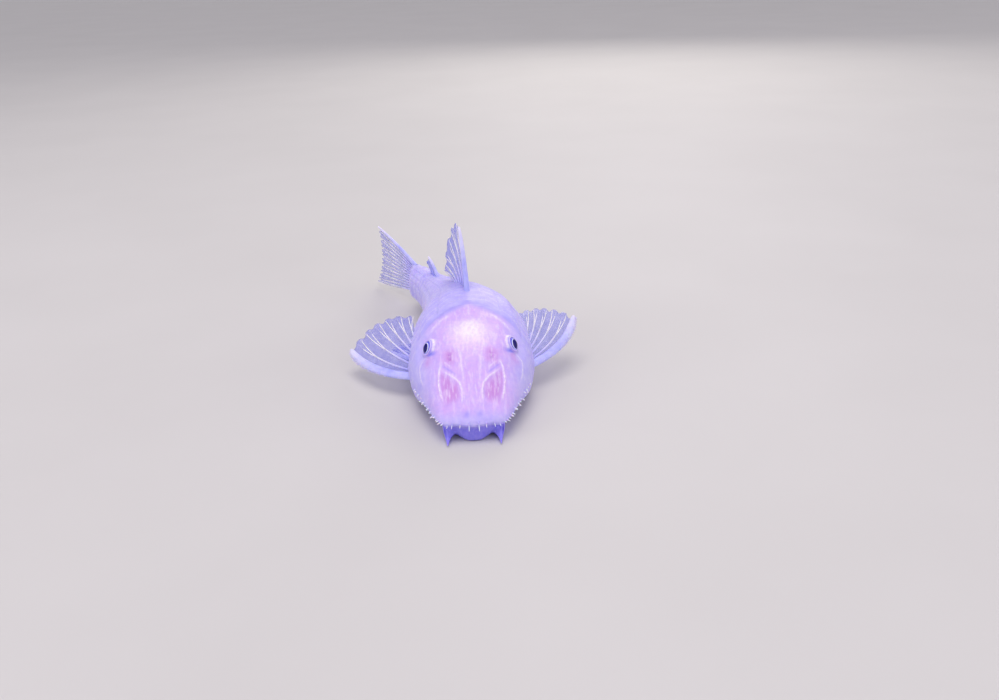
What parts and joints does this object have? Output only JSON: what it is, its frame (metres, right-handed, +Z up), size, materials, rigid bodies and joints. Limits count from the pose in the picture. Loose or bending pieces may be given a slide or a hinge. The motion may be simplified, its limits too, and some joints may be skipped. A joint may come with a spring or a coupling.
{
  "type": "bristlenose pleco",
  "caption": "Life-size still model of a small pale armoured catfish resting on its belly, with a sucker mouth, fanned pectoral fins and a raised dorsal fin.",
  "frame": {"origin": "on the floor, below the middle of the whole animal's box", "axes": "+Z up; the head looks towards -Y and the tail lies towards +Y; +X is the fish's left side"},
  "size_m": [0.0394, 0.075, 0.0237],
  "materials": {
    "skin": "moist pale skin over bony plates, satin",
    "lips": "soft moist skin",
    "fin_skin": "thin clear skin on pale bony rays, satin",
    "eye": "wet and glossy"
  },
  "bodies": {
    "root": {"head": "skin", "trunk": "skin", "tail_stem": "skin", "mouth_disc": "lips", "barbel_left": "lips", "barbel_right": "lips", "eye_left": "eye", "eye_right": "eye", "pectoral_fin_left": "fin_skin", "pectoral_fin_right": "fin_skin", "pelvic_fin_left": "fin_skin", "pelvic_fin_right": "fin_skin", "dorsal_fin": "fin_skin", "adipose_fin": "fin_skin", "anal_fin": "fin_skin", "caudal_fin": "fin_skin"}
  },
  "joints": []
}
